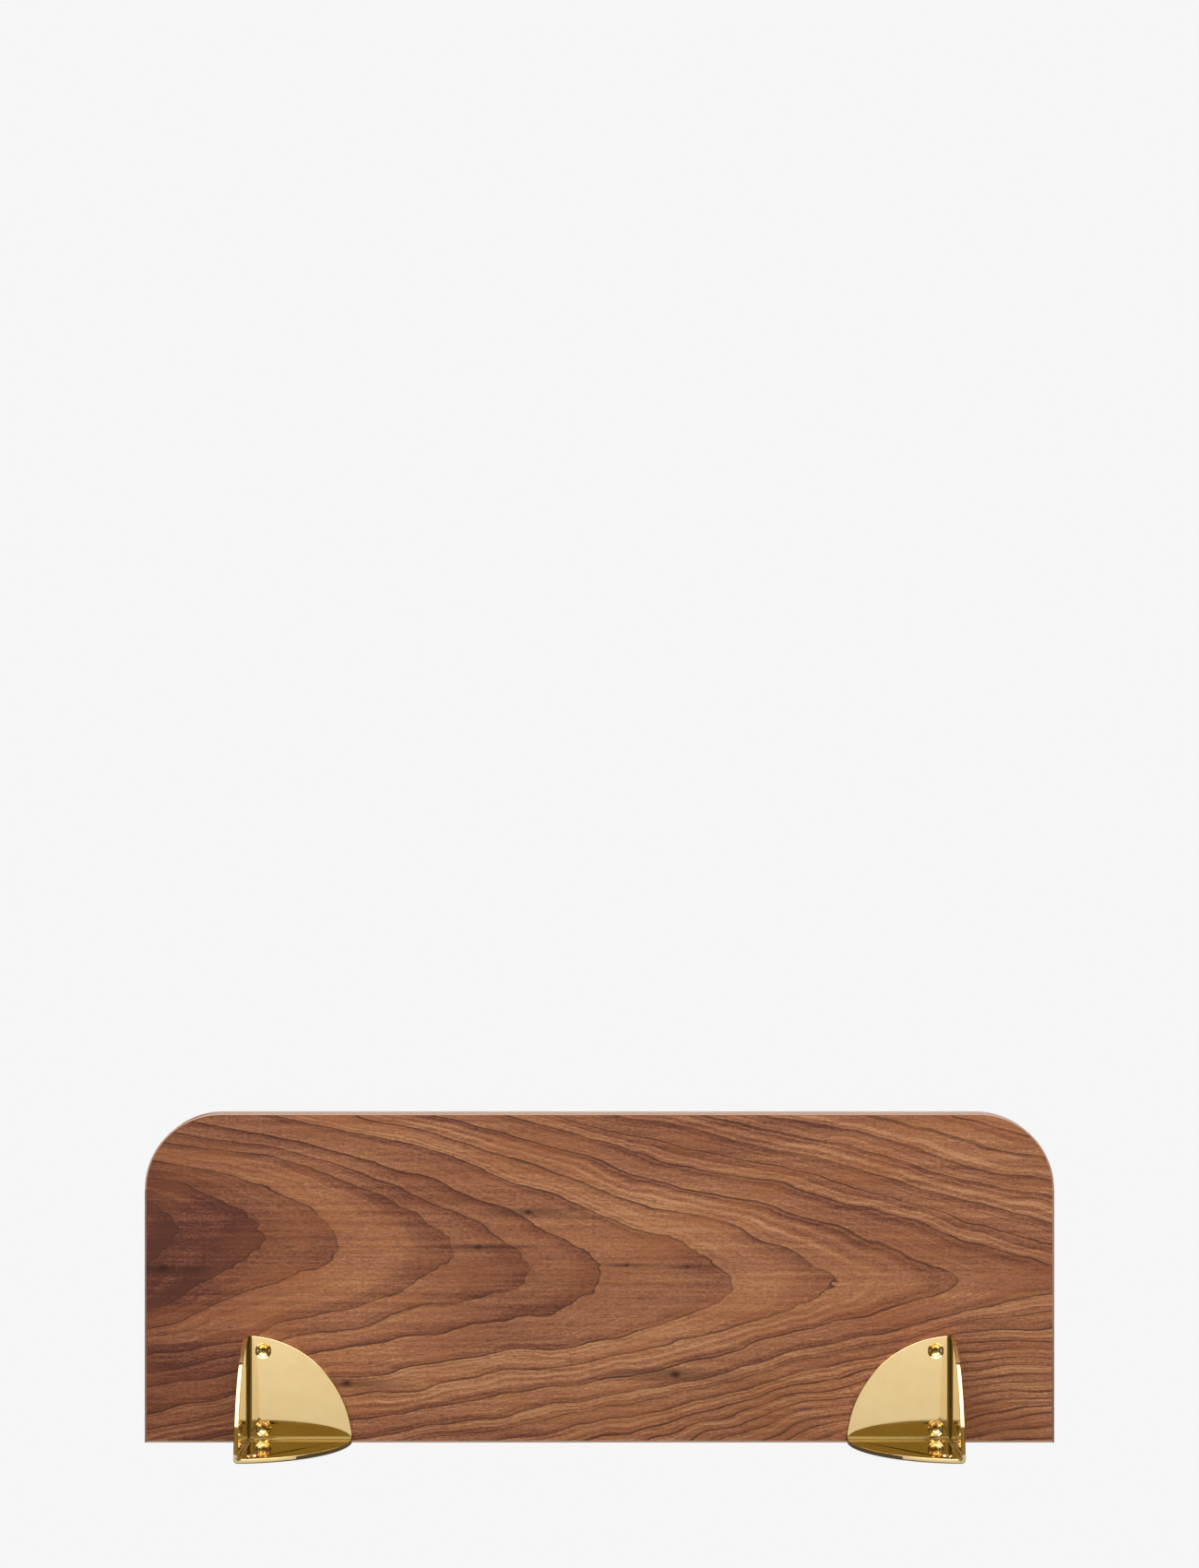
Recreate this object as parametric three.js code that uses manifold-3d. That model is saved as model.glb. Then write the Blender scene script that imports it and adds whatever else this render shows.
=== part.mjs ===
// Wall shelf: a walnut-veneered board carried by two polished brass corner brackets.
//
// Millimetres, +Z up. The wall is the plane y = 0 and the board reaches out from it
// towards -Y. The origin is the middle of the board's back edge, at half its thickness.
//
// The board is a core with a veneer on each face, an edge band bent round its ends and
// front, and a straight band along its back edge. Each bracket is three quarter-round
// leaves square to each other: one under the board, one against the wall and one that
// stands between them as a web. Two countersunk wood screws hold each bracket's board leaf.
import * as THREE from "three";
import { mergeVertices } from "three/addons/utils/BufferGeometryUtils.js";
import Module from "manifold-3d";

const wasm = await Module();
wasm.setup();

// ---------------------------------------------------------------- driving dimensions

// Board
const SHELF_LENGTH = 600;
const SHELF_DEPTH = 217;
const CORNER_RADIUS = 50; // the two front corners, in plan
const CORE_THICKNESS = 16;
const VENEER_THICKNESS = 0.5;
const BAND_THICKNESS = 1.2;

// Bracket
const LEAF_RADIUS = 71; // from the outer corner to the rim, on all three leaves
const LEAF_THICKNESS = 3;
const FOLD_OUTER_RADIUS = 2.5;
const FOLD_INNER_RADIUS = 2.2;
const BRACKET_INSET = 66; // from the board's end to the outside of the web
const HOLE_FROM_WEB = 12.4; // from the outside of the web to each hole's axis
const HOLE_FROM_CORNER = 10; // from the leaf's other straight edge to the near hole
const HOLE_FROM_RIM = 10; // from the leaf's tip to the far hole, along the web
const HOLE_DIAMETER = 5.2;
const COUNTERSINK_DIAMETER = 10.5;
const COUNTERSINK_ANGLE = 110; // degrees, side to side

// Wood screw, with a dished head that seats in the countersink
const SCREW_HEAD_DIAMETER = 8;
const THREAD_DIAMETER = 4;
const THREAD_ROOT_DIAMETER = 2.8;
const THREAD_PITCH = 1.8;
const SCREW_NECK = 2.5; // the plain stretch under the head
const SCREW_TIP = 3.5; // the pointed end
const HEAD_EDGE = 0.25; // the head's upright rim
const DISH_DIAMETER = 7.6; // the dish in the head, as steep as the countersink
const RECESS_DIAMETER = 2.8; // the cross recess in the dish's floor
const RECESS_FLOOR_DIAMETER = 1.2;
const RECESS_DEPTH = 0.9;
const RECESS_ARM_WIDTH = 0.8;
const POINT_COVER = 3.5; // what is left of the board above a screw's point

// Clearances
const SEAT_CLEARANCE = 0.15; // between a screw's head and its countersink, along the axis
const PILOT_CLEARANCE = 0.25; // round a screw in the board, and past its point
const CUT_MARGIN = 1; // how far a cutter runs past the face it enters

// Facets
const CORNER_STEPS = 32; // on a quarter turn of the board's corners
const RIM_STEPS = 64; // on a quarter turn of a leaf's rim
const FOLD_STEPS = 8; // on a quarter turn of a fold
const ROUND_STEPS = 48; // on a full turn of a hole or a head
const THREAD_STEPS = 24; // on a full turn of a thread

// ---------------------------------------------------------------- derived sizes

const BOARD_THICKNESS = CORE_THICKNESS + 2 * VENEER_THICKNESS;
const UNDERSIDE = -BOARD_THICKNESS / 2;
const FAR_HOLE = LEAF_RADIUS - HOLE_FROM_RIM;
const CONE_SLOPE = 1 / Math.tan((COUNTERSINK_ANGLE * Math.PI) / 360); // depth for each mm inwards
const HEAD_SEAT = ((COUNTERSINK_DIAMETER - SCREW_HEAD_DIAMETER) / 2) * CONE_SLOPE; // below the face
const HEAD_HEIGHT = LEAF_THICKNESS - HEAD_SEAT + HEAD_EDGE + SEAT_CLEARANCE; // above the board
const SCREW_LENGTH = HEAD_HEIGHT + BOARD_THICKNESS - POINT_COVER;
const DISH_DEPTH = ((DISH_DIAMETER - RECESS_DIAMETER) / 2) * CONE_SLOPE;

// ---------------------------------------------------------------- materials

const finishes = {
  walnut: new THREE.MeshStandardMaterial({ color: 0x8a5a42, roughness: 0.55, metalness: 0 }),
  band: new THREE.MeshStandardMaterial({ color: 0x9a7058, roughness: 0.55, metalness: 0 }),
  fibreboard: new THREE.MeshStandardMaterial({ color: 0xa98a63, roughness: 0.9, metalness: 0 }),
  brass: new THREE.MeshStandardMaterial({ color: 0xe6c48e, roughness: 0.08, metalness: 1 }),
  screw: new THREE.MeshStandardMaterial({ color: 0xd8b478, roughness: 0.2, metalness: 1 }),
};

// ---------------------------------------------------------------- solids and meshes

function solidOf(geometry) {
  const bare = geometry.clone();
  bare.deleteAttribute("normal");
  bare.deleteAttribute("uv");
  const merged = mergeVertices(bare, 1e-4);
  return new wasm.Manifold(
    new wasm.Mesh({
      numProp: 3,
      vertProperties: merged.attributes.position.array,
      triVerts: new Uint32Array(merged.index.array),
    }),
  );
}

function geometryOf(solid) {
  const { numProp, numVert, vertProperties, triVerts } = solid.getMesh();
  const positions = new Float32Array(numVert * 3);
  for (let i = 0; i < numVert; i++) {
    positions.set(vertProperties.subarray(i * numProp, i * numProp + 3), i * 3);
  }
  const geometry = new THREE.BufferGeometry();
  geometry.setAttribute("position", new THREE.BufferAttribute(positions, 3));
  geometry.setIndex(new THREE.BufferAttribute(new Uint32Array(triVerts), 1));
  geometry.computeVertexNormals();
  return geometry;
}

function named(name, geometry, finish) {
  const mesh = new THREE.Mesh(geometry, finishes[finish]);
  mesh.name = name;
  return mesh;
}

// A flat outline of [x, y] points, thickened upwards from z = low.
function slab(points, low, thickness) {
  const shape = new THREE.Shape(points.map(([x, y]) => new THREE.Vector2(x, y)));
  const geometry = new THREE.ExtrudeGeometry(shape, { depth: thickness, bevelEnabled: false });
  return geometry.translate(0, 0, low);
}

// A profile of [radius, height] points from axis to axis, turned about +Z.
function turned(points, steps) {
  const profile = points.map(([radius, height]) => new THREE.Vector2(radius, height));
  return new THREE.LatheGeometry(profile, steps).rotateX(Math.PI / 2);
}

// The points of an arc in plan, both ends included.
function arc(centreX, centreY, radius, from, to, steps) {
  return Array.from({ length: steps + 1 }, (_, i) => {
    const angle = from + ((to - from) * i) / steps;
    return [centreX + radius * Math.cos(angle), centreY + radius * Math.sin(angle)];
  });
}

// ---------------------------------------------------------------- board

// The way round the board's ends and front, from the left back corner to the right one,
// a given distance inside its edge. Every layer that meets takes its points from here.
function roundTheFront(inset, back) {
  const end = SHELF_LENGTH / 2 - inset;
  const corner = SHELF_LENGTH / 2 - CORNER_RADIUS;
  const cornerY = CORNER_RADIUS - SHELF_DEPTH;
  const radius = CORNER_RADIUS - inset;
  return [
    [-end, back],
    ...arc(-corner, cornerY, radius, Math.PI, 1.5 * Math.PI, CORNER_STEPS),
    ...arc(corner, cornerY, radius, 1.5 * Math.PI, 2 * Math.PI, CORNER_STEPS),
    [end, back],
  ];
}

const panelOutline = roundTheFront(BAND_THICKNESS, -BAND_THICKNESS);

// The pilot hole for one screw, up from the board's underside, which is z = 0 here. It
// clears the thread and what is left of the head's cone where that enters the board.
function pilotHole() {
  const cone = SCREW_HEAD_DIAMETER / 2 - (HEAD_HEIGHT - HEAD_EDGE) / CONE_SLOPE;
  const radius = Math.max(THREAD_DIAMETER / 2, cone) + PILOT_CLEARANCE;
  const depth = SCREW_LENGTH - HEAD_HEIGHT + PILOT_CLEARANCE;
  const profile = [
    [0, -CUT_MARGIN],
    [radius, -CUT_MARGIN],
    [radius, depth],
    [0, depth],
  ];
  return solidOf(turned(profile, ROUND_STEPS));
}

// Where the screws enter the board's underside, as [x, y].
const screwPlaces = [-1, 1].flatMap((side) =>
  [HOLE_FROM_CORNER, FAR_HOLE].map((y) => [
    side * (SHELF_LENGTH / 2 - BRACKET_INSET - HOLE_FROM_WEB),
    -y,
  ]),
);

function withPilotHoles(geometry) {
  const hole = pilotHole();
  const drilled = screwPlaces.reduce(
    (panel, [x, y]) => panel.subtract(hole.translate([x, y, UNDERSIDE])),
    solidOf(geometry),
  );
  return geometryOf(drilled);
}

function board() {
  const coreLow = UNDERSIDE + VENEER_THICKNESS;
  const core = withPilotHoles(slab(panelOutline, coreLow, CORE_THICKNESS));
  const under = withPilotHoles(slab(panelOutline, UNDERSIDE, VENEER_THICKNESS));
  const upper = slab(panelOutline, coreLow + CORE_THICKNESS, VENEER_THICKNESS);

  const bandOutline = [
    ...roundTheFront(0, 0),
    ...roundTheFront(BAND_THICKNESS, 0).reverse(),
  ];
  const frontBand = slab(bandOutline, UNDERSIDE, BOARD_THICKNESS);

  const backEnd = SHELF_LENGTH / 2 - BAND_THICKNESS;
  const backOutline = [
    [-backEnd, -BAND_THICKNESS],
    [backEnd, -BAND_THICKNESS],
    [backEnd, 0],
    [-backEnd, 0],
  ];
  const backBand = slab(backOutline, UNDERSIDE, BOARD_THICKNESS);

  return [
    named("board_core", core, "fibreboard"),
    named("under_veneer", under, "walnut"),
    named("upper_veneer", upper, "walnut"),
    named("front_edge_band", frontBand, "band"),
    named("back_edge_band", backBand, "band"),
  ];
}

// ---------------------------------------------------------------- bracket

// The bracket is built in the positive octant with its outer corner at the origin:
// X runs inwards along the board, Y away from the wall and Z down from the board.

// A shape in the XY plane, thickened along Z, turned so that it is square to one axis.
// Each turn keeps the octant: "x" sends XYZ to YZX and "y" sends XYZ to ZXY.
const octantTurns = {
  x: new THREE.Matrix4().set(0, 0, 1, 0, 1, 0, 0, 0, 0, 1, 0, 0, 0, 0, 0, 1),
  y: new THREE.Matrix4().set(0, 1, 0, 0, 0, 0, 1, 0, 1, 0, 0, 0, 0, 0, 0, 1),
  z: new THREE.Matrix4(),
};
const squareTo = (geometry, axis) => solidOf(geometry.clone().applyMatrix4(octantTurns[axis]));
const eachAxis = (geometry) => ["x", "y", "z"].map((axis) => squareTo(geometry, axis));
const joined = (solids) => solids.reduce((whole, solid) => whole.add(solid));

// One leaf: a quarter of a disc.
function leaf() {
  const rim = arc(0, 0, LEAF_RADIUS, 0, Math.PI / 2, RIM_STEPS);
  return slab([[0, 0], ...rim], 0, LEAF_THICKNESS);
}

// The concave fillet in the angle between two leaves, short of both rims.
function foldFillet() {
  const centre = LEAF_THICKNESS + FOLD_INNER_RADIUS;
  const length = Math.sqrt(LEAF_RADIUS ** 2 - centre ** 2);
  const curve = arc(centre, centre, FOLD_INNER_RADIUS, 1.5 * Math.PI, Math.PI, FOLD_STEPS);
  const inside = LEAF_THICKNESS / 2;
  return slab([[inside, inside], [centre, inside], ...curve, [inside, centre]], 0, length);
}

// Everything inside the rounded outer edge that runs along Z.
function outerRounding() {
  const reach = LEAF_RADIUS + CUT_MARGIN;
  const radius = FOLD_OUTER_RADIUS;
  const curve = arc(radius, radius, radius, Math.PI, 1.5 * Math.PI, FOLD_STEPS);
  return slab([...curve, [reach, 0], [reach, reach], [0, reach]], 0, reach);
}

// A countersunk hole through a leaf that is square to Z, opening on its inner face.
function countersunkHole() {
  const hole = HOLE_DIAMETER / 2;
  const mouth = COUNTERSINK_DIAMETER / 2;
  const top = LEAF_THICKNESS + CUT_MARGIN;
  return turned(
    [
      [0, -CUT_MARGIN],
      [hole, -CUT_MARGIN],
      [hole, LEAF_THICKNESS - (mouth - hole) * CONE_SLOPE],
      [mouth + CUT_MARGIN / CONE_SLOPE, top],
      [0, top],
    ],
    ROUND_STEPS,
  );
}

function bracketGeometry() {
  let solid = joined([...eachAxis(leaf()), ...eachAxis(foldFillet())]);
  for (const keep of eachAxis(outerRounding())) {
    solid = solid.intersect(keep);
  }
  const hole = countersunkHole();
  for (const away of [HOLE_FROM_CORNER, FAR_HOLE]) {
    const inBoardLeaf = hole.clone().translate(HOLE_FROM_WEB, away, 0);
    const inWallLeaf = hole.clone().translate(away, HOLE_FROM_WEB, 0);
    solid = solid.subtract(squareTo(inBoardLeaf, "z")).subtract(squareTo(inWallLeaf, "y"));
  }
  return geometryOf(solid);
}

// ---------------------------------------------------------------- screws

// The cross recess: a tapered well down from the dish's floor, kept only where one of two
// crossed arms passes.
function crossRecess() {
  const mouth = RECESS_DIAMETER / 2;
  const bottom = -DISH_DEPTH - RECESS_DEPTH;
  const well = [
    [0, bottom],
    [RECESS_FLOOR_DIAMETER / 2, bottom],
    [mouth, -DISH_DEPTH],
    [mouth, 0],
    [0, 0],
  ];
  const armHeight = 2 * (DISH_DEPTH + RECESS_DEPTH + CUT_MARGIN);
  const arm = new THREE.BoxGeometry(RECESS_DIAMETER, RECESS_ARM_WIDTH, armHeight);
  const arms = joined([solidOf(arm), solidOf(arm.clone().rotateZ(Math.PI / 2))]);
  return solidOf(turned(well, ROUND_STEPS)).intersect(arms);
}

// A screw with its head's rim at z = 0 and its point down at z = -SCREW_LENGTH.
function screwGeometry() {
  const head = SCREW_HEAD_DIAMETER / 2;
  const crest = THREAD_DIAMETER / 2;
  const root = THREAD_ROOT_DIAMETER / 2;
  const neckTop = -HEAD_EDGE - (head - root) * CONE_SLOPE;
  const threadTop = neckTop - SCREW_NECK;
  const threadEnd = SCREW_TIP - SCREW_LENGTH;
  const turns = Math.round((threadTop - threadEnd) / THREAD_PITCH);
  const pitch = (threadTop - threadEnd) / turns;
  const ridges = Array.from({ length: turns }, (_, i) => [
    [crest, threadEnd + (i + 0.5) * pitch],
    [root, threadEnd + (i + 1) * pitch],
  ]);
  const profile = [
    [0, -SCREW_LENGTH],
    [root, threadEnd],
    ...ridges.flat(),
    [root, neckTop],
    [head, -HEAD_EDGE],
    [head, 0],
    [DISH_DIAMETER / 2, 0],
    [RECESS_DIAMETER / 2, -DISH_DEPTH],
    [0, -DISH_DEPTH],
  ];
  return geometryOf(solidOf(turned(profile, THREAD_STEPS)).subtract(crossRecess()));
}

// ---------------------------------------------------------------- assembly

// A group that carries the bracket's octant to its corner under the board. The right
// bracket is the left one's mirror image.
function bracketWithScrews(side, direction) {
  const group = new THREE.Group();
  group.position.set(direction * (SHELF_LENGTH / 2 - BRACKET_INSET), 0, UNDERSIDE);
  group.scale.set(-direction, -1, -1);
  group.add(named(`${side}_bracket`, bracketGeometry(), "brass"));
  for (const [place, y] of [["back", HOLE_FROM_CORNER], ["front", FAR_HOLE]]) {
    const screw = named(`${side}_${place}_screw`, screwGeometry(), "screw");
    screw.position.set(HOLE_FROM_WEB, y, HEAD_HEIGHT);
    group.add(screw);
  }
  return group;
}

const shelf = new THREE.Group();
shelf.add(...board(), bracketWithScrews("left", -1), bracketWithScrews("right", 1));
export default shelf;
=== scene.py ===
# %% [markdown]
# # A walnut wall shelf on polished brass brackets
#
# The shelf is a board 600 mm long, 217 mm deep and 17 mm thick, with two round front
# corners. Two brass brackets hold it to the wall from below. Each bracket is three
# quarter-round leaves square to each other, like the corner of a box.
#
# The design comes in first and stays where it is. What this script adds is the surface:
# rounded arrises, figured veneer, polished metal and real screws.

import math

import bmesh
import bpy
from mathutils import Matrix, Vector


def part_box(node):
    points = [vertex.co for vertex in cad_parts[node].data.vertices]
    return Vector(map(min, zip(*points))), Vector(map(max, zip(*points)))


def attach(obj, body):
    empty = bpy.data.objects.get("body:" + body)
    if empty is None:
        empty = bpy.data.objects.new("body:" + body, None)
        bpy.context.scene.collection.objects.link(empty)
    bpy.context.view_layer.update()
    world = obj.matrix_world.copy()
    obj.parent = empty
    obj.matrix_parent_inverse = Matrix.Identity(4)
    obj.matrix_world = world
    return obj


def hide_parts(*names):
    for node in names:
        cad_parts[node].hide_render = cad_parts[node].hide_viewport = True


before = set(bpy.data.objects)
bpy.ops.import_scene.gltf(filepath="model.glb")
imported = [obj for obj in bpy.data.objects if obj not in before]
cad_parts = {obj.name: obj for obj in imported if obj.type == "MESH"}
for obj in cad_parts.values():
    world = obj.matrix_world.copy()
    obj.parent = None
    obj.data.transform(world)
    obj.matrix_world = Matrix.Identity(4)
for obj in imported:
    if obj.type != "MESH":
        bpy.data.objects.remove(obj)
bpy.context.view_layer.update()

# %% [markdown]
# Blender works in metres and the workshop in millimetres, so every size of the shelf is
# a number of millimetres times `MM`. The studio is large, and stays in metres. Where the
# box round one of the design's nodes gives a size it is read off that box, and the other
# sizes repeat the design's.

# %% Sizes
MM = 0.001

veneer_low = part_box("under_veneer")[0]
band_low, band_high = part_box("front_edge_band")
left_low, left_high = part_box("left_bracket")

SHELF_LENGTH = band_high.x - band_low.x
SHELF_DEPTH = -band_low.y
UNDERSIDE = band_low.z
TOPSIDE = band_high.z
BAND_THICKNESS = veneer_low.x - band_low.x
CORNER_RADIUS = 50 * MM
LEAF_RADIUS = left_high.x - left_low.x
print("leaf", round(LEAF_RADIUS / MM, 2), "band", round(BAND_THICKNESS / MM, 2), "mm")

# %% [markdown]
# ## Camera
#
# The picture is taken from below, square to the board, so that the underside fills it
# and the brackets stand out towards the eye. The camera's middle is in front of the
# board's own middle, which shows a little of each bracket's inside. A long lens far
# away would flatten the brackets, and a short one near by would splay them. This lens
# is about 78 mm at 2.25 m. Turning the camera half a turn about X makes it look up.

# %% Camera
PICTURE_HEIGHT = 1034.5 * MM  # what the picture takes in, at the board's underside
WALL_BELOW_CENTRE = 434.5 * MM  # from the picture's middle down to the wall edge
CAMERA_DISTANCE = 2.25

camera_data = bpy.data.cameras.new("camera")
camera_data.sensor_width = 36
camera_data.lens = camera_data.sensor_width * CAMERA_DISTANCE / PICTURE_HEIGHT
camera = bpy.data.objects.new("camera", camera_data)
camera.location = (0, -WALL_BELOW_CENTRE, UNDERSIDE - CAMERA_DISTANCE)
camera.rotation_euler = (math.pi, 0, 0)
bpy.context.scene.collection.objects.link(camera)
bpy.context.scene.camera = camera
print("lens", round(camera_data.lens, 1), "mm")

# %% [markdown]
# ## Colours and nodes
#
# A paint chart or a screen gives a colour as sRGB hex, and the renderer wants linear
# light, so one function turns the one into the other. A second one adds a shader node
# with its settings and links. The values go to its inputs in order, a node given as a
# value means that node's first output, and `None` leaves an input as it is.

# %% Helpers for colours and nodes


def colour(code):
    """sRGB hex as linear red, green, blue and alpha."""
    channels = [int(code[i : i + 2], 16) / 255 for i in (0, 2, 4)]
    linear = [c / 12.92 if c <= 0.04045 else ((c + 0.055) / 1.055) ** 2.4 for c in channels]
    return (*linear, 1)


def add(tree, kind, *values, named=None, stops=(), bends=(), **settings):
    """A new node in the tree with its settings and its inputs set or linked. A ramp also
    gets its (place, hex colour) stops, and a curve of straight pieces the (place, value)
    points that it runs through."""
    made = tree.nodes.new("ShaderNode" + kind)
    for setting, value in settings.items():
        setattr(made, setting, value)
    for key, value in [*enumerate(values), *(named or {}).items()]:
        if isinstance(value, bpy.types.Node):
            value = value.outputs[0]
        if isinstance(value, bpy.types.NodeSocket):
            tree.links.new(value, made.inputs[key])
        elif value is not None:
            made.inputs[key].default_value = value
    for number, (place, code) in enumerate(stops):
        elements = made.color_ramp.elements
        stop = elements[number] if number < len(elements) else elements.new(1)
        stop.position, stop.color = place, colour(code)
    if bends:
        points = made.mapping.curves[0].points
        for bend in bends[1:-1]:
            points.new(*bend)
        for point, bend in zip(points, bends):
            point.location = bend
            point.handle_type = "VECTOR"
        made.mapping.update()
    return made


def new_material(name, **constants):
    """A material whose one shader has its constant inputs set. Returns it, a function
    that adds nodes to it, and one that links a node to an input of the shader."""
    material = bpy.data.materials.new(name)
    material.use_nodes = True
    tree = material.node_tree
    tree.nodes.clear()
    shader = add(tree, "BsdfPrincipled")
    for key, value in constants.items():
        shader.inputs[key.replace("_", " ")].default_value = value
    add(tree, "OutputMaterial", shader)

    def node(kind, *values, **settings):
        return add(tree, kind, *values, **settings)

    def drive(key, source):
        tree.links.new(source.outputs[0], shader.inputs[key])

    return material, node, drive


def dress(piece, material):
    """Gives a piece its one material."""
    piece.data.materials.clear()
    piece.data.materials.append(material)
    print(piece.name, "is dressed in", material.name)


print("half-bright grey in linear light", round(colour("808080")[0], 3))

# %% [markdown]
# ## Studio
#
# Polished brass has hardly a colour of its own: it shows the room. So the lamps are
# placed for what the brass should mirror. A tall softbox on the open side of the shelf
# gives the white glints on the rims and inside the countersinks. A long cream card,
# bent round below the wall, is what the flat leaves mirror. The floor between them is
# dim and warm, and two reflections of it give the old gold inside the corner.
#
# The world and the floor show the camera a pale studio, and light the object only a
# little. The shelf hangs at wall height, so the floor is far below it.

# %% Studio
STUDIO_WHITE = "F6F6F6"
FLOOR_BELOW = 2.75  # under the board
FLOOR_RADIUS = 2.6
FLOOR_GLOW = ("FFE684", 0.26)
WORLD_GLOW = ("C8BFB2", 0.16)


def backdrop_tree(tree, output, shown, felt, strength):
    """Shows the camera one colour and lights the object with another, dimmer one."""
    source = "Background" if output == "OutputWorld" else "Emission"
    seen = add(tree, "LightPath").outputs["Is Camera Ray"]
    pale = add(tree, source, colour(shown), 1)
    dim = add(tree, source, colour(felt), strength)
    add(tree, output, add(tree, "MixShader", seen, dim, pale))


def glowing_material(name):
    """An empty material for a part of the studio that shines by itself."""
    material = bpy.data.materials.new(name)
    material.use_nodes = True
    material.node_tree.nodes.clear()
    return material


def stage_piece(name, shape, material):
    """Puts a shape in the scene as part of the studio."""
    mesh = bpy.data.meshes.new(name)
    shape.to_mesh(mesh)
    shape.free()
    mesh.materials.append(material)
    made = bpy.data.objects.new(name, mesh)
    bpy.context.scene.collection.objects.link(made)
    return made


world = bpy.data.worlds.new("pale_studio")
world.use_nodes = True
world.node_tree.nodes.clear()
backdrop_tree(world.node_tree, "OutputWorld", STUDIO_WHITE, *WORLD_GLOW)
bpy.context.scene.world = world

floor_material = glowing_material("pale_floor")
backdrop_tree(floor_material.node_tree, "OutputMaterial", STUDIO_WHITE, *FLOOR_GLOW)
shape = bmesh.new()
bmesh.ops.create_circle(shape, cap_ends=True, segments=96, radius=FLOOR_RADIUS)
bmesh.ops.translate(shape, verts=shape.verts, vec=(0, 0, -FLOOR_BELOW))
stage_piece("floor", shape, floor_material)
print("floor", 2 * FLOOR_RADIUS, "m across,", FLOOR_BELOW, "m down")

# %% [markdown]
# The cream card is a strip spun part of a turn about the line where the shelf meets the
# wall, so it is equally far from the brackets all along. It gets dimmer away from the
# wall's plane, and that gives the flat leaves their slow change from light to tan.

# %% Cream card
CARD_DISTANCE = 2.4
CARD_EDGES = (0.2, 0.62)  # how far behind the wall's plane it begins and ends
CARD_SWEEP = math.radians(58)  # to each side of straight down
CARD_FADE = (0.26, 0.46)  # how far behind the wall's plane it starts and stops fading
CARD_GLOW = (1.05, 0.78)  # how bright it is before and after

card_material = glowing_material("cream_card")
tree = card_material.node_tree
behind = add(tree, "SeparateXYZ", add(tree, "TexCoord").outputs["Object"]).outputs["Y"]
fade = add(tree, "MapRange", behind, *CARD_FADE, *CARD_GLOW)
glow = add(tree, "Emission", colour("FFFCF2"), fade)
add(tree, "OutputMaterial", glow)

shape = bmesh.new()
ends = [shape.verts.new((0, y, -CARD_DISTANCE)) for y in CARD_EDGES]
strip = shape.edges.new(ends)
bmesh.ops.rotate(
    shape, verts=ends, cent=(0, 0, 0), matrix=Matrix.Rotation(-CARD_SWEEP, 3, "Y")
)
bmesh.ops.spin(
    shape, geom=[strip, *ends], cent=(0, 0, 0), axis=(0, 1, 0), angle=2 * CARD_SWEEP, steps=24
)
card = stage_piece("cream_card", shape, card_material)
card.visible_camera = False
print("cream card", [round(side, 2) for side in card.dimensions], "m")

# %% [markdown]
# The softboxes are lamps. What the rims mirror sets where the front one begins and ends:
# its upper edge is just under the line of sight to the board's own front edge.

# %% Softboxes


def softbox(name, upper, lower, width, radiance):
    """A rectangular lamp that the camera doesn't see, between the middles of two of its
    edges. It faces the shelf, and its power follows from its area."""
    upper, lower = Vector(upper), Vector(lower)
    down = lower - upper
    data = bpy.data.lights.new(name, "AREA")
    data.shape = "RECTANGLE"
    data.size, data.size_y = width, down.length
    data.energy = radiance * math.pi * width * down.length
    lamp = bpy.data.objects.new(name, data)
    across = Vector((1, 0, 0))
    facing = down.cross(across).normalized()
    if facing.dot((upper + lower) / 2) > 0:
        across, facing = -across, -facing
    turn = Matrix((across, -down.normalized(), -facing)).transposed()
    lamp.matrix_world = Matrix.Translation((upper + lower) / 2) @ turn.to_4x4()
    lamp.visible_camera = False
    bpy.context.scene.collection.objects.link(lamp)


softbox("front_softbox", (0, -1.95, 0.3), (0, -1.0, -1.97), width=2.9, radiance=2.6)
softbox("overhead_softbox", (0.3, -1.2, 1.9), (0.3, 0.2, 1.9), width=1.8, radiance=1.9)
bpy.context.scene.view_settings.view_transform = "Standard"

# %% [markdown]
# ## Walnut veneer
#
# A crown-cut leaf is sliced off the log flat, beside its heart. The growth rings are
# cones one inside the other, so a flat cut through them gives nested arches with their
# noses all one way: the cathedral figure. A wave texture can't give that, because its
# rings are evenly spaced and parallel.
#
# So the figure is worked out as the tree makes it. For a point at distance `w` from the
# heart line, the ring through it has its nose at
#
#     nose = x + (sqrt(h * h + w * w) - h) / k
#
# where `k` is the cone's slope and `h` says how blunt the noses are. A curve turns nose
# places into ring numbers, because no two years are equally wide. Both the walnut's own
# nodes and this field measure in millimetres, and their noise is stretched along the
# board, as fibre is.

# %% Where the rings run
# Where each year's line has its nose, in millimetres along the board.
RING_NOSES = (
    *(-330, -275, -222, -176, -96, -55, -1, 88, 155, 237),
    *(318, 372, 430, 498, 548, 610, 665, 736, 790, 860),
    *(915, 985, 1040, 1110, 1180, 1240),
)
# How much lighter or darker than the middle tone each year is.
YEAR_TONES = (
    *(-0.08, -0.12, -0.24, -0.08, 0.16, 0.03, 0.02, 0.06, 0.2, 0.14),
    *(-0.02, 0.1, -0.08, 0.1, -0.06, 0.08, -0.04, 0.08, -0.1, 0.06),
    *(-0.02, -0.08, 0.04, -0.1, 0.0, -0.12, 0.0),
)
NOSE_LOW, NOSE_HIGH = -420, 1300  # millimetres along the board
YEARS = len(YEAR_TONES)


def stretched(node, flat, length, width, detail=2.0, roughness=0.5):
    """Noise with lumps so many millimetres long and wide."""
    shrunk = node("VectorMath", flat, (1 / length, 1 / width, 1.0), operation="MULTIPLY")
    return node("TexNoise", shrunk, None, 1.0, detail, roughness)


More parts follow.
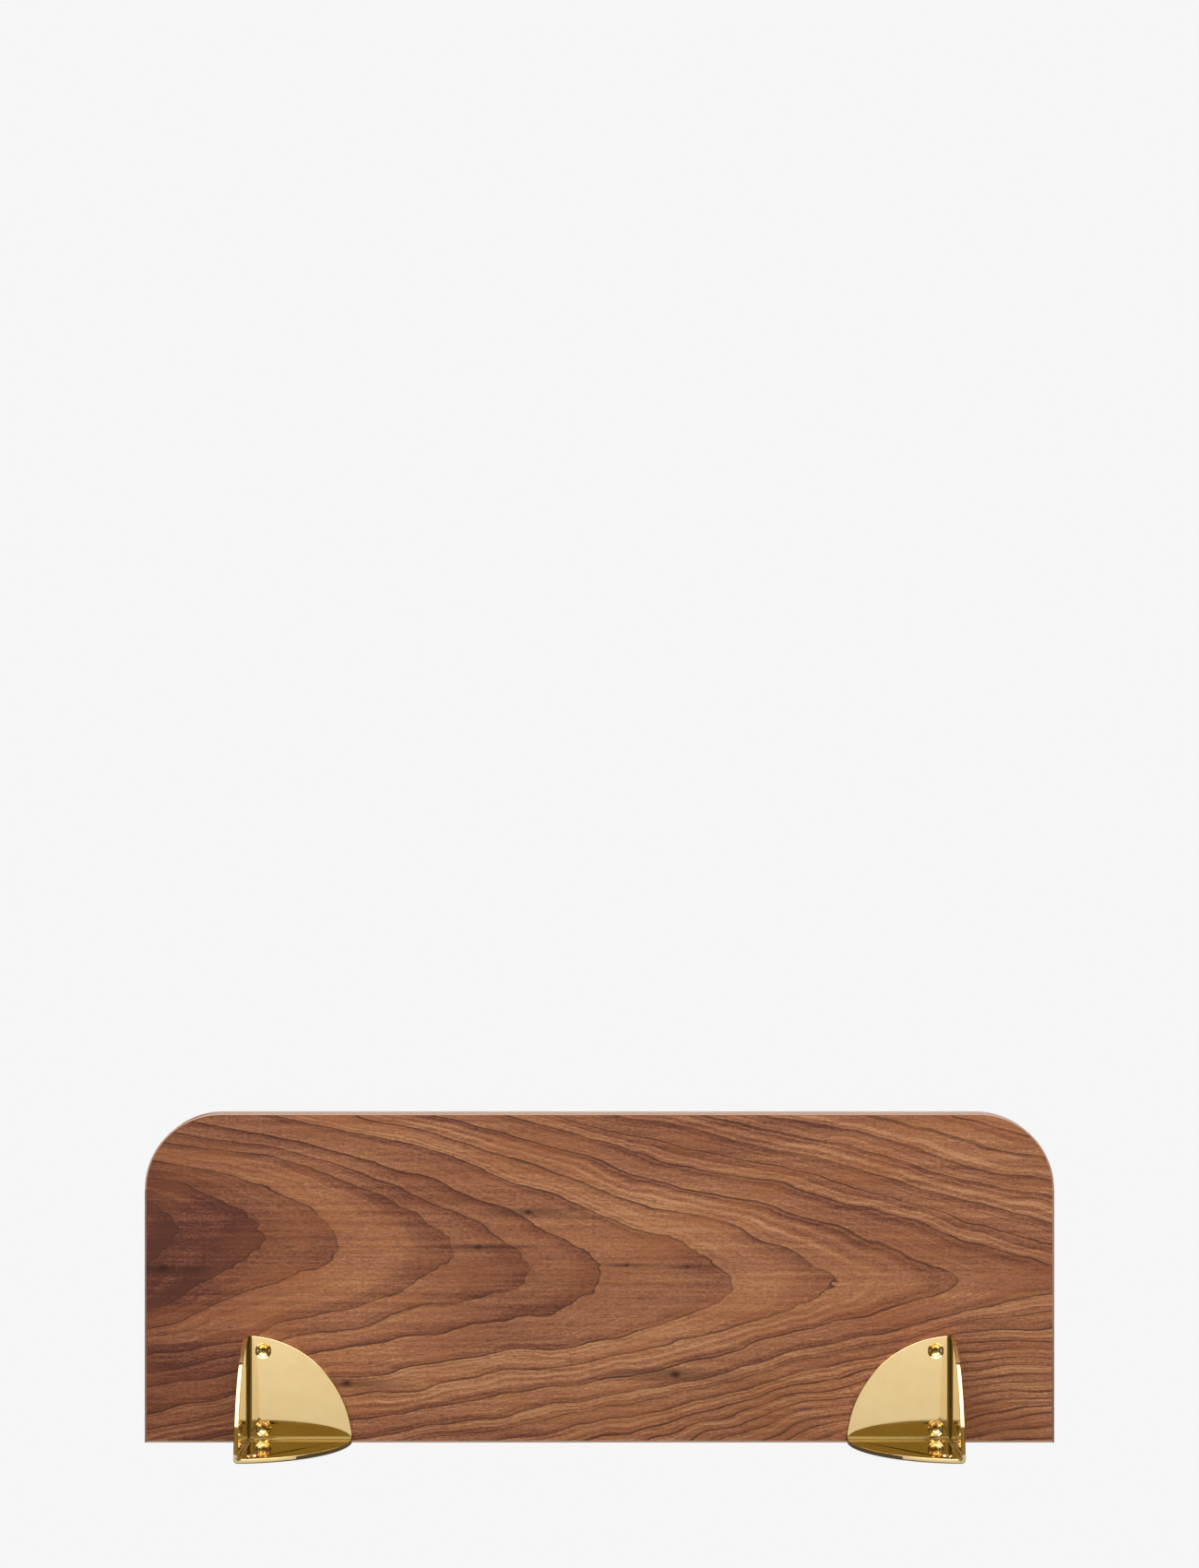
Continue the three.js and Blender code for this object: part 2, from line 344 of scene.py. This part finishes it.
def ring_field(node, x, y, flat):
    """Adds the nodes that say where the ring through a point has its nose, which ring it
    is, how steeply its line runs, and how far out on a limb the point is, from 0 to 1."""

    def wander(length, width, strength):
        """Noise about zero, in millimetres."""
        lump = stretched(node, flat, length, width)
        return node("MapRange", lump, 0.0, 1.0, -strength / 2, strength / 2)

    # The log isn't straight or round, so the arches wander, and their noses are ragged.
    swell = wander(100, 50, 46)
    ragged = wander(24.4, 13.33, 22)
    nick = wander(10, 4.55, 4)
    sway = wander(95.2, 55.6, 16)
    heart = node("MapRange", x, -200.0, 20.0, -140.0, -108.0)
    beside = node("Math", y, heart, operation="SUBTRACT")
    off = node("Math", beside, sway, operation="ADD")
    lower = node("Math", off, 0.0, operation="GREATER_THAN")

    def each_side(upper_ends, lower_ends):
        """A measure that changes along the board, and not alike on the two sides."""
        sides = [node("MapRange", x, -200.0, 240.0, *ends) for ends in (upper_ends, lower_ends)]
        return node("Mix", lower, None, *sides)

    blunt = each_side((100.0, 9.0), (140.0, 36.0))
    slope = each_side((0.085, 0.225), (0.115, 0.085))
    square = node("Math", off, off, operation="MULTIPLY")
    both = node("Math", blunt, blunt, square, operation="MULTIPLY_ADD")
    root = node("Math", both, operation="SQRT")
    rise = node("Math", root, blunt, operation="SUBTRACT")
    behind = node("Math", rise, slope, operation="DIVIDE")
    nose = node("Math", x, behind, operation="ADD")

    # How fast the nose place changes across the grain: 0 at the noses, 4 to 12 on the limbs.
    lean = node("Math", off, root, operation="DIVIDE")
    steep = node("Math", lean, slope, operation="DIVIDE")
    bank = node("Math", steep, operation="ABSOLUTE")
    limb = node("MapRange", bank, 0.8, 4.5, 0.0, 1.0, interpolation_type="SMOOTHSTEP")
    calm = node("MapRange", limb, 0.0, 1.0, 1.0, 0.8)
    for lump in (swell, ragged, nick):
        nose = node("Math", lump, calm, nose, operation="MULTIPLY_ADD")

    span = NOSE_HIGH - NOSE_LOW
    along = node("MapRange", nose, NOSE_LOW, NOSE_HIGH, 0.0, 1.0)
    lines = [((where - NOSE_LOW) / span, (n + 1) / YEARS) for n, where in enumerate(RING_NOSES)]
    passed = node("FloatCurve", 1.0, along, bends=[(0, 0), *lines, (1, 1)])
    ring = node("Math", passed, YEARS, operation="MULTIPLY")
    return nose, ring, steep, limb


print(YEARS, "years,", round((RING_NOSES[-1] - RING_NOSES[0]) / (len(RING_NOSES) - 1)), "mm apart")

# %% [markdown]
# The ring's number does three jobs. A second curve makes it a tone, because wet and dry
# summers differ, and the tone runs smoothly from each year into the next. Its fraction
# darkens the wood a little towards the end of the year. And where the fraction ends
# there is a thin dark line of late wood. The line keeps its width along the limbs,
# because its distance is divided by how steep the field is there.
#
# Over it lie what every piece of walnut has: streaks of fibre, which run the length of
# the board, open pores 0.3 mm wide and a few millimetres long, and a cloudy mottle.

# %% Walnut veneer
LATE_WOOD = "432519"
PORE = "3E2116"
KNOT = "36130D"
YEAR_WIDTH = 62.0  # millimetres along the board, on average
# Each knot's x, y and reach, in millimetres.
PIN_KNOTS = (
    *((-288, -115, 4.6), (-47, -152, 3.6), (-80, -129, 3.4), (-167, -39, 4.6)),
    *((50, -45, 5.2), (18, -117, 2.0), (58, -116, 2.2)),
)


def crown_cut_walnut(name, flip=1):
    """Crown-cut walnut veneer under satin lacquer: warm brown arches with dark lines, full
    of fine dark pores. The lacquer fills most of the pores, so it shines softly. A flip
    of -1 lays the leaf with its arches the other way."""
    material, node, drive = new_material(name, IOR=1.5)

    place = node("TexCoord").outputs["Object"]
    in_mm = node("Mapping", place, named={"Scale": (flip / MM, 1 / MM, 1 / MM)})
    axes = node("SeparateXYZ", in_mm)
    x, y = axes.outputs["X"], axes.outputs["Y"]
    flat = node("CombineXYZ", x, y, 0.0)
    nose, ring, steep, limb = ring_field(node, x, y, flat)

    cloud = stretched(node, flat, 222, 77)
    end = node("MapRange", x, -300.0, -180.0, -0.26, 0.0)  # one end of the leaf is darker
    streak = stretched(node, flat, 167, 3.33, 3.0, 0.6)
    fibre = stretched(node, flat, 20, 0.8, 3.0, 0.65)
    mottle = stretched(node, flat, 2.5, 1.43, 4.0, 0.7)
    dashes = stretched(node, flat, 7.7, 0.526, 2.0, 0.55)
    fading = stretched(node, flat, 33.3, 20)
    tanned = stretched(node, flat, 83.3, 33.3)

    season = node("Math", ring, operation="FRACT")
    age = node("Math", ring, 1 / YEARS, operation="MULTIPLY")
    tones = [((n + 0.4) / YEARS, 0.5 + tone) for n, tone in enumerate(YEAR_TONES)]
    vintage = node("FloatCurve", 1.0, age, bends=tones)
    late = node("MapRange", season, 0.35, 1.0, 0.0, 1.0, interpolation_type="SMOOTHERSTEP")

    # Finer lines follow the limbs, several to a year.
    course = node("Math", nose, 0.075, operation="MULTIPLY")
    banding = node("TexNoise", None, course, 1.0, 3.0, 0.7, noise_dimensions="1D")
    banded = node("MapRange", banding, 0.25, 0.75, -0.5, 0.5)
    share = node("MapRange", limb, 0.0, 1.0, 0.15, 1.0)
    bands = node("Math", banded, share, operation="MULTIPLY")

    # Each measure moves the tone up or down about its own middle, by its own weight.
    tone = 1.0
    for source, middle, weight in (
        (cloud, 0.5, 0.7),
        (end, 0.0, 1.0),
        (streak, 0.5, 0.75),
        (fibre, 0.5, 0.4),
        (mottle, 0.5, 1.0),
        (vintage, 0.5, 0.9),
        (late, 0.35, -0.2),
        (bands, 0.0, 0.5),
    ):
        centred = node("Math", source, middle, operation="SUBTRACT")
        tone = node("Math", centred, weight, tone, operation="MULTIPLY_ADD")

    # From the dark red-brown of dense wood to the tan of open wood, ruddier in places.
    base = node(
        "ValToRGB",
        node("MapRange", tone, 0.62, 1.38, 0.0, 1.0),
        stops=[(0.0, "5E2D23"), (0.3, "874E39"), (0.55, "A2684C"), (0.8, "B97C56"), (1.0, "CD966F")],
    )
    tinge = node("MapRange", tanned, 0.45, 0.7, 0.0, 0.5)
    base = node("MixRGB", tinge, base, colour("A5633C"))

    # The line of late wood is a millimetre wide, measured square to its own run.
    rate = node("Math", steep, steep, 1.0, operation="MULTIPLY_ADD")
    climb = node("Math", rate, operation="SQRT")
    rest = node("Math", 1.0, season, operation="SUBTRACT")
    ahead = node("Math", rest, YEAR_WIDTH, operation="MULTIPLY")
    to_line = node("Math", ahead, climb, operation="DIVIDE")
    line = node("MapRange", to_line, 0.1, 1.4, 1.0, 0.0, interpolation_type="SMOOTHSTEP")
    strength = node("MapRange", fading, 0.35, 0.6, 0.35, 1.0)
    inked = node("Math", line, strength, operation="MULTIPLY")
    wood = node("MixRGB", inked, base, colour(LATE_WOOD))

    pore = node("MapRange", dashes, 0.55, 0.68, 0.0, 0.55, interpolation_type="SMOOTHSTEP")
    wood = node("MixRGB", pore, wood, colour(PORE))

    # A pin knot is a small dark eye with a smudge drawn out along the grain. Each has its
    # squeeze along the board, its share of the knot's reach and its depth of colour.
    eye, smudge = (0.7, 0.8, 1.0), (0.09, 1.2, 0.6)
    for knot_x, knot_y, knot_reach in PIN_KNOTS:
        from_knot = node("VectorMath", flat, (knot_x, knot_y, 0.0), operation="SUBTRACT")
        for squeeze, spread, depth in (eye, smudge):
            scaled = node("VectorMath", from_knot, (squeeze, 1.0, 1.0), operation="MULTIPLY")
            away = node("VectorMath", scaled, operation="LENGTH").outputs["Value"]
            reach = knot_reach * spread
            shade = node("MapRange", away, 0.0, reach, depth, 0.0, interpolation_type="SMOOTHSTEP")
            wood = node("MixRGB", shade, wood, colour(KNOT))

    drive("Base Color", wood)
    drive("Roughness", node("MapRange", mottle, 0.3, 0.7, 0.44, 0.56))
    height = node("Math", pore, -1.6, fibre, operation="MULTIPLY_ADD")
    bump = node("Bump", named={"Strength": 0.35, "Distance": 0.1 * MM, "Height": height})
    drive("Normal", bump)
    return material


dress(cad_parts["under_veneer"], crown_cut_walnut("walnut_crown_cut_under"))
dress(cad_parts["upper_veneer"], crown_cut_walnut("walnut_crown_cut_upper", -1))

# %% [markdown]
# ## Edge band
#
# The board's core is fibreboard, so its edges are covered by strips of walnut. One strip
# is bent round both ends, both corners and the front. It could be cut from the board's
# outline with a boolean. But a strip that is swept the way it is bent keeps its grain
# along its length, so a short edge is extruded down the end, spun round the corner, and
# so on. Then the flat strip is pulled up to the board's thickness, and its outer arrises
# are rounded, as sandpaper does.

# %% Edge band
THICKNESS = TOPSIDE - UNDERSIDE
ARRIS = 0.9 * MM
TOUCHING = 0.001 * MM  # points closer than this are one point
NEARLY_SQUARE = math.radians(60)  # an arris is bent more than this


def pull_edge(shape, edge, offset):
    """Extrudes one edge and returns the new one."""
    made = bmesh.ops.extrude_edge_only(shape, edges=[edge])["geom"]
    moved = [item for item in made if isinstance(item, bmesh.types.BMVert)]
    bmesh.ops.translate(shape, verts=moved, vec=offset)
    edges = [item for item in made if isinstance(item, bmesh.types.BMEdge)]
    return next(item for item in edges if set(item.verts) == set(moved))


def turn_corner(shape, edge, centre, steps=32):
    """Spins one edge a quarter turn about an upright axis and returns the last one."""
    made = bmesh.ops.spin(
        shape, geom=[edge, *edge.verts], cent=centre, axis=(0, 0, 1), angle=math.pi / 2, steps=steps
    )["geom_last"]
    return next(item for item in made if isinstance(item, bmesh.types.BMEdge))


def past_the_straight(place):
    """How far a point lies past the straight part of an end and of the front."""
    past_end = abs(place.x) - (SHELF_LENGTH / 2 - CORNER_RADIUS)
    past_side = -place.y - (SHELF_DEPTH - CORNER_RADIUS)
    return past_end, past_side


def outwards(place):
    """The corner radius all along the board's outline, straight or round, and less inside."""
    return math.hypot(*[max(past, 0) for past in past_the_straight(place)])


def round_arrises(shape, on_the_outside):
    """Rounds the sharp long edges whose two ends are both on the outside."""
    arrises = [
        edge
        for edge in shape.edges
        if edge.calc_face_angle(0) > NEARLY_SQUARE
        and all(on_the_outside(end.co) for end in edge.verts)
    ]
    bmesh.ops.bevel(
        shape, geom=arrises, affect="EDGES", offset=ARRIS, segments=4, profile=0.5, material=-1
    )


def front_band():
    """The strip round both ends, both corners and the front."""
    shape = bmesh.new()
    end = SHELF_LENGTH / 2
    straight = SHELF_DEPTH - CORNER_RADIUS
    first = [shape.verts.new((x, 0, UNDERSIDE)) for x in (-end, -end + BAND_THICKNESS)]
    edge = shape.edges.new(first)
    edge = pull_edge(shape, edge, (0, -straight, 0))
    edge = turn_corner(shape, edge, (-end + CORNER_RADIUS, -straight, UNDERSIDE))
    edge = pull_edge(shape, edge, (2 * (end - CORNER_RADIUS), 0, 0))
    edge = turn_corner(shape, edge, (end - CORNER_RADIUS, -straight, UNDERSIDE))
    pull_edge(shape, edge, (0, straight, 0))
    bmesh.ops.remove_doubles(shape, verts=shape.verts, dist=TOUCHING)
    risen = bmesh.ops.extrude_face_region(shape, geom=shape.faces[:])["geom"]
    upper = [item for item in risen if isinstance(item, bmesh.types.BMVert)]
    bmesh.ops.translate(shape, verts=upper, vec=(0, 0, THICKNESS))
    bmesh.ops.recalc_face_normals(shape, faces=shape.faces)
    nearly_out = CORNER_RADIUS - 0.1 * MM
    round_arrises(shape, lambda place: outwards(place) > nearly_out and place.y < -TOUCHING)
    return shape


def back_band():
    """The straight strip along the wall."""
    shape = bmesh.new()
    low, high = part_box("back_edge_band")
    bmesh.ops.create_cube(shape, size=1)
    bmesh.ops.scale(shape, verts=shape.verts, vec=high - low)
    bmesh.ops.translate(shape, verts=shape.verts, vec=(low + high) / 2)
    round_arrises(shape, lambda place: place.y > -TOUCHING)
    return shape


# %% [markdown]
# A piece is finished the same way each time: smooth faces, and weighted normals, which
# keep a flat face flat in a reflection right up to the round at its edge.

# %% Finishing a piece


def finish(name, shape, nodes, material):
    """Turns a finished shape into a piece that rides on the body and stands for the nodes."""
    mesh = bpy.data.meshes.new(name)
    shape.to_mesh(mesh)
    shape.free()
    for face in mesh.polygons:
        face.use_smooth = True
    piece = bpy.data.objects.new(name, mesh)
    bpy.context.scene.collection.objects.link(piece)
    even = piece.modifiers.new("flat faces", "WEIGHTED_NORMAL")
    even.keep_sharp = True
    even.weight = 100
    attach(piece, "root")
    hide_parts(*nodes)
    dress(piece, material)
    print(name, "has", len(mesh.polygons), "faces")


# %% [markdown]
# The strips are cut along the grain, so they show streaks and no arches. The grain runs
# on a UV map in millimetres, laid with the strip: U goes round the outline and V across
# it. A painted highlight turns the wood pale along the arrises, which gives a paler line
# all round the board.

# %% Walnut band


def along_outline(place):
    """How far round the board's outline a point is, from the middle of the front."""
    past_end, past_side = past_the_straight(place)
    half_front = SHELF_LENGTH / 2 - CORNER_RADIUS
    if past_end <= 0:
        return place.x
    if past_side <= 0:
        return math.copysign(half_front + CORNER_RADIUS * math.pi / 2 - past_side, place.x)
    return math.copysign(half_front + CORNER_RADIUS * math.atan2(past_end, past_side), place.x)


def map_grain(shape, along):
    """Lays the grain's map on a strip and returns the strip."""
    layer = shape.loops.layers.uv.new("grain")
    for face in shape.faces:
        for loop in face.loops:
            place = loop.vert.co
            loop[layer].uv = (along(place) / MM, (place.z + outwards(place)) / MM)
    return shape


def straight_walnut(name):
    """Straight-grained walnut strip under satin lacquer, with a painted highlight along its arrises.
    """
    material, node, drive = new_material(name, Roughness=0.45, IOR=1.5)
    grain = node("UVMap", uv_map="grain")
    streaks = node("Mapping", grain, named={"Scale": (1 / 83.3, 1 / 1.11, 1.0)})
    fibre = node("TexNoise", streaks, None, 1.0, 4.0, 0.6)
    dashes = node("Mapping", grain, named={"Scale": (1 / 5, 1 / 0.333, 1.0)})
    pores = node("TexNoise", dashes, None, 1.0, 2.0, 0.5)
    wood = node("ValToRGB", fibre, stops=[(0.3, "6B402C"), (0.5, "8A5A40"), (0.68, "A06F50")])
    pore = node("MapRange", pores, 0.58, 0.7, 0.0, 0.5)
    pored = node("MixRGB", pore, wood, colour(PORE))
    height = node("SeparateXYZ", node("TexCoord").outputs["Object"]).outputs["Z"]
    away = node("Math", height, operation="ABSOLUTE")
    # Painted highlight: the wood turns pale towards the arrises.
    arris_highlight = node("MapRange", away, TOPSIDE - 0.8 * ARRIS, TOPSIDE - 0.1 * ARRIS, 0.0, 0.85)
    drive("Base Color", node("MixRGB", arris_highlight, pored, colour("C9A58C")))
    drive("Normal", node("Bump", named={"Strength": 0.3, "Distance": 0.1 * MM, "Height": fibre}))
    return material


band_wood = straight_walnut("walnut_band_arris_highlight")
front_strip = map_grain(front_band(), along_outline)
back_strip = map_grain(back_band(), lambda place: place.x)
finish("front_band", front_strip, ["front_edge_band"], band_wood)
finish("back_band", back_strip, ["back_edge_band"], band_wood)

# %% [markdown]
# The core is never seen, but it is there: pressed wood fibre, pale brown and even, with
# a darker fleck here and there.

# %% Fibreboard


def fibreboard(name):
    """Pressed fibreboard: pale, matt and finely flecked."""
    material, node, drive = new_material(name, Roughness=0.9)
    place = node("TexCoord").outputs["Object"]
    flecks = node("TexNoise", place, None, 1 / (1.11 * MM), 4.0, 0.7)
    fibres = node("ValToRGB", flecks, stops=[(0.35, "8A6C4A"), (0.55, "AE9068"), (0.75, "C4A77E")])
    drive("Base Color", fibres)
    return material


dress(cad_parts["board_core"], fibreboard("fibreboard_core"))

# %% [markdown]
# ## Polished brass
#
# Brass for fittings is buffed on a wheel until it is nearly a mirror. A metal's base
# colour is what it does to white light, and brass keeps the red and loses blue: after
# one reflection it looks like cream, and after two like old gold. So the dark gold
# across the leaves inside the corner isn't painted. It comes from the leaves mirroring
# each other. Only the hollows of the folds get painted shade.
#
# Buffing leaves very shallow waves, and hands leave a faint haze. Both are only just
# visible, in the roughness and in a tiny bump.

# %% Polished brass
# The dull brown of the painted shade in the folds' hollows and the screws' recesses.
PAINTED_SHADE_BRASS = "85713E"


def polished_brass(name, roughness=0.05):
    """Buffed and lacquered brass: a cream mirror with shallow waves and a faint haze, with
    painted shade, dull brown and rougher, on the points marked for it."""
    material, node, drive = new_material(name, Metallic=1)
    place = node("TexCoord").outputs["Object"]
    haze = node("TexNoise", place, None, 1 / (22.2 * MM), 3.0, 0.6)
    waves = node("TexNoise", place, None, 1 / (11.1 * MM), 1.0, 0.4)
    # Painted shade: where the points are marked, the brass turns dull brown and rougher.
    painted_shade = node("Attribute", attribute_name="painted_shade").outputs["Fac"]
    bright = node("ValToRGB", haze, stops=[(0.3, "EDD09A"), (0.7, "F2D8A4")])
    drive("Base Color", node("MixRGB", painted_shade, bright, colour(PAINTED_SHADE_BRASS)))
    smooth = node("MapRange", haze, 0.3, 0.75, roughness * 0.7, roughness * 1.5)
    drive("Roughness", node("Math", painted_shade, 0.4, smooth, operation="MULTIPLY_ADD"))
    drive("Normal", node("Bump", named={"Strength": 0.04, "Distance": 0.2 * MM, "Height": waves}))
    return material


brass = polished_brass("brass_buffed")
print(brass.name, "has", len(brass.node_tree.nodes), "nodes")

# %% [markdown]
# ## Brackets
#
# A bracket's three leaves, its folds and its countersunk holes come from the design. The
# design's mesh is loose triangles with sharp edges, and a mirror finish would show each
# one of them. So a copy of it is merged, its flat faces are made whole again, and every
# sharp edge is rounded. Before that the ends of the folds are filed flat, because thin
# slivers there would make the bevel grow spikes.
#
# The buffing wheel takes most off the outer edges and hardly reaches into the holes. The
# hollows of the folds get painted shade: an attribute on their points turns the brass
# dull brown and rougher there.

# %% Brackets
LEAF_THICKNESS = 3 * MM
FOLD_INSIDE = 2.2 * MM  # the radius of a fold's hollow
BUFFED_EDGE = 0.6 * MM
HOLE_EDGE = 0.12 * MM
FILED_REACH = LEAF_RADIUS - 0.192 * MM  # from the corner to the filed ends of the folds
HOLE_REACH = 6 * MM  # from a hole's axis to past its countersink
SHARP = math.radians(30)  # an edge bent more than this is rounded
FLAT = math.radians(0.3)  # an edge bent less than this is dissolved


def hole_axes(side):
    """A point and a direction for the axis of each hole. The wall leaf's holes are as far
    below the board as the board leaf's are in front of the wall."""
    for place in ("back", "front"):
        low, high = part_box(f"{side}_{place}_screw")
        centre = (low + high) / 2
        yield Vector((centre.x, centre.y, 0)), Vector((0, 0, 1))
        yield Vector((centre.x, 0, UNDERSIDE + centre.y)), Vector((0, 1, 0))


def buffed_copy(side):
    """The bracket's shape with its edges rounded and the points of its folds' hollows marked for
    painted shade.
    """
    shape = bmesh.new()
    shape.from_mesh(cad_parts[f"{side}_bracket"].data)
    bmesh.ops.remove_doubles(shape, verts=shape.verts, dist=2 * TOUCHING)
    low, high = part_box(f"{side}_bracket")
    corner = Vector((low.x if side == "left" else high.x, high.y, high.z))
    # Filed flat, no fold reaches further from the corner than this.
    for vertex in shape.verts:
        reach = vertex.co - corner
        vertex.co = corner + Vector([max(-FILED_REACH, min(FILED_REACH, away)) for away in reach])
    bmesh.ops.remove_doubles(shape, verts=shape.verts, dist=10 * TOUCHING)
    bmesh.ops.dissolve_limit(shape, angle_limit=FLAT, verts=shape.verts, edges=shape.edges)
    axes = list(hole_axes(side))

    def in_a_hole(point):
        return any((point - base).cross(axis).length < HOLE_REACH for base, axis in axes)

    for width, at_a_hole in ((HOLE_EDGE, True), (BUFFED_EDGE, False)):
        sharp = [
            edge
            for edge in shape.edges
            if edge.is_manifold
            and edge.calc_face_angle(0) > SHARP
            and all(in_a_hole(end.co) for end in edge.verts) == at_a_hole
        ]
        bmesh.ops.bevel(
            shape, geom=sharp, affect="EDGES", offset=width, segments=3, profile=0.5, material=-1
        )

    # A point of a fold's hollow is close in front of two leaves at once.
    slack = 0.1 * MM
    # These points of the folds' hollows get painted shade.
    painted_shade = shape.verts.layers.float.new("painted_shade")
    for vertex in shape.verts:
        in_front = sorted(abs(away) - LEAF_THICKNESS for away in vertex.co - corner)
        vertex[painted_shade] = in_front[0] > -slack and in_front[1] < FOLD_INSIDE - slack
    return shape


for side in ("left", "right"):
    finish(f"{side}_buffed_bracket", buffed_copy(side), [f"{side}_bracket"], brass)

# %% [markdown]
# ## Screws
#
# A wood screw is turned, so its outline is spun about its axis, with the dish in its
# head. The thread is a narrow triangle spun at the same time as it climbs, which makes a
# helix. The cross recess at the bottom of the dish is two tapered arms cut out with a
# boolean, and it gets painted shade with some dirt, in the same dull brown as the folds.
# One screw is made, and copies of it go to the four places.

# %% Screws
screw_low, screw_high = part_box("left_back_screw")
SCREW_LENGTH = screw_high.z - screw_low.z
HEAD_RADIUS = (screw_high.x - screw_low.x) / 2
CONE_SLOPE = math.tan(math.radians(35))  # a 110 degree countersink
HEAD_RIM = 0.25 * MM
HEAD_CHAMFER = 0.06 * MM
DISH_RADIUS = 3.8 * MM
RECESS_RADIUS = 1.4 * MM
RECESS_DEPTH = 0.9 * MM
ARM_WIDTH = 0.8 * MM
SHANK_RADIUS = 1.4 * MM
CREST_RADIUS = 2 * MM
PITCH = 1.8 * MM
STEPS_PER_TURN = 24
NECK = 2.5 * MM
TIP = 3.5 * MM
DISH_DEPTH = (DISH_RADIUS - RECESS_RADIUS) * CONE_SLOPE
NECK_START = HEAD_RIM + (HEAD_RADIUS - SHANK_RADIUS) * CONE_SLOPE


def spun(outline, steps=64):
    """Turns an outline of (radius, height) points about Z."""
    shape = bmesh.new()
    points = [shape.verts.new((radius, 0, height)) for radius, height in outline]
    edges = [shape.edges.new(pair) for pair in zip(points, points[1:])]
    bmesh.ops.spin(
        shape,
        geom=[*points, *edges],
        cent=(0, 0, 0),
        axis=(0, 0, 1),
        angle=2 * math.pi,
        steps=steps,
        use_merge=True,
    )
    bmesh.ops.remove_doubles(shape, verts=shape.verts, dist=TOUCHING)
    bmesh.ops.recalc_face_normals(shape, faces=shape.faces)
    return shape


def thread(start, end):
    """A triangle spun as it climbs from one height to the other."""
    shape = bmesh.new()
    root = SHANK_RADIUS - 0.1 * MM
    corners = [(root, -0.42 * PITCH), (CREST_RADIUS, 0), (root, 0.42 * PITCH)]
    face = shape.faces.new([shape.verts.new((radius, 0, start + rise)) for radius, rise in corners])
    turns = (end - start) / PITCH
    steps = round(turns * STEPS_PER_TURN)
    bmesh.ops.spin(
        shape,
        geom=[face],
        cent=(0, 0, 0),
        axis=(0, 0, 1),
        dvec=(0, 0, (end - start) / steps),
        angle=2 * math.pi * turns,
        steps=steps,
    )
    bmesh.ops.recalc_face_normals(shape, faces=shape.faces)
    return shape


def cross_arm(turn):
    """One arm of the cross, narrower at its bottom, from above the dish's floor."""
    shape = bmesh.new()
    arm = bmesh.ops.create_cube(shape, size=1)["verts"]
    bmesh.ops.scale(shape, verts=arm, vec=(2 * RECESS_RADIUS, ARM_WIDTH, 2 * RECESS_DEPTH))
    deep = [vertex for vertex in arm if vertex.co.z > 0]
    bmesh.ops.scale(shape, verts=deep, vec=(0.45, 0.7, 1))
    bmesh.ops.translate(shape, verts=arm, vec=(0, 0, DISH_DEPTH))
    bmesh.ops.rotate(shape, verts=arm, cent=(0, 0, 0), matrix=Matrix.Rotation(turn, 3, "Z"))
    return shape


def loose_object(name, shape):
    """A shape as an object that only a boolean needs."""
    mesh = bpy.data.meshes.new(name)
    shape.to_mesh(mesh)
    shape.free()
    made = bpy.data.objects.new(name, mesh)
    bpy.context.scene.collection.objects.link(made)
    return made


def combine(base, shape, operation):
    """Joins a shape to the base or cuts it out."""
    other = loose_object("cutter", shape)
    change = base.modifiers.new("combine", "BOOLEAN")
    change.operation, change.solver, change.object = operation, "EXACT", other
    ready = bpy.context.evaluated_depsgraph_get()
    result = bpy.data.meshes.new_from_object(base.evaluated_get(ready))
    base.modifiers.clear()
    base.data = result
    bpy.data.objects.remove(other)


def wood_screw():
    """The mesh of a screw with its head's rim at z = 0 and its point up."""
    outline = [
        (0, DISH_DEPTH),
        (RECESS_RADIUS, DISH_DEPTH),
        (2 * RECESS_RADIUS, DISH_DEPTH - RECESS_RADIUS * CONE_SLOPE),
        (DISH_RADIUS, 0),
        (HEAD_RADIUS - HEAD_CHAMFER, 0),
        (HEAD_RADIUS, HEAD_CHAMFER),
        (HEAD_RADIUS, HEAD_RIM),
        (SHANK_RADIUS, NECK_START),
        (SHANK_RADIUS, SCREW_LENGTH - TIP),
        (0, SCREW_LENGTH),
    ]
    screw = loose_object("screw", spun(outline))
    combine(screw, thread(NECK_START + NECK, SCREW_LENGTH - TIP), "UNION")
    for turn in (0, math.pi / 2):
        combine(screw, cross_arm(turn), "DIFFERENCE")
    # Booleans leave slivers too thin to see, and welding their ends closes them up.
    shape = bmesh.new()
    shape.from_mesh(screw.data)
    bpy.data.objects.remove(screw)
    bmesh.ops.triangulate(shape, faces=shape.faces)
    bmesh.ops.dissolve_degenerate(shape, dist=5 * TOUCHING, edges=shape.edges)
    bmesh.ops.remove_doubles(shape, verts=shape.verts, dist=5 * TOUCHING)
    # Painted shade and dirt: the floor and walls of the cross recess are marked to turn dull brown.
    painted_shade = shape.verts.layers.float.new("painted_shade")
    for vertex in shape.verts:
        deep = vertex.co.z > DISH_DEPTH - 0.3 * MM
        vertex[painted_shade] = deep and vertex.co.to_2d().length < RECESS_RADIUS + 0.05 * MM
    mesh = bpy.data.meshes.new("wood_screw")
    shape.to_mesh(mesh)
    open_edges = [edge for edge in shape.edges if not edge.is_manifold]
    print("screw has", len(shape.faces), "faces and", len(open_edges), "open edges")
    shape.free()
    return mesh


screw_mesh = wood_screw()
screw_brass = polished_brass("brass_screw_plated", roughness=0.1)
for side in ("left", "right"):
    for place in ("back", "front"):
        node_name = f"{side}_{place}_screw"
        low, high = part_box(node_name)
        shape = bmesh.new()
        shape.from_mesh(screw_mesh)
        head = ((low.x + high.x) / 2, (low.y + high.y) / 2, low.z)
        bmesh.ops.translate(shape, verts=shape.verts, vec=head)
        finish(f"{side}_{place}_wood_screw", shape, [node_name], screw_brass)
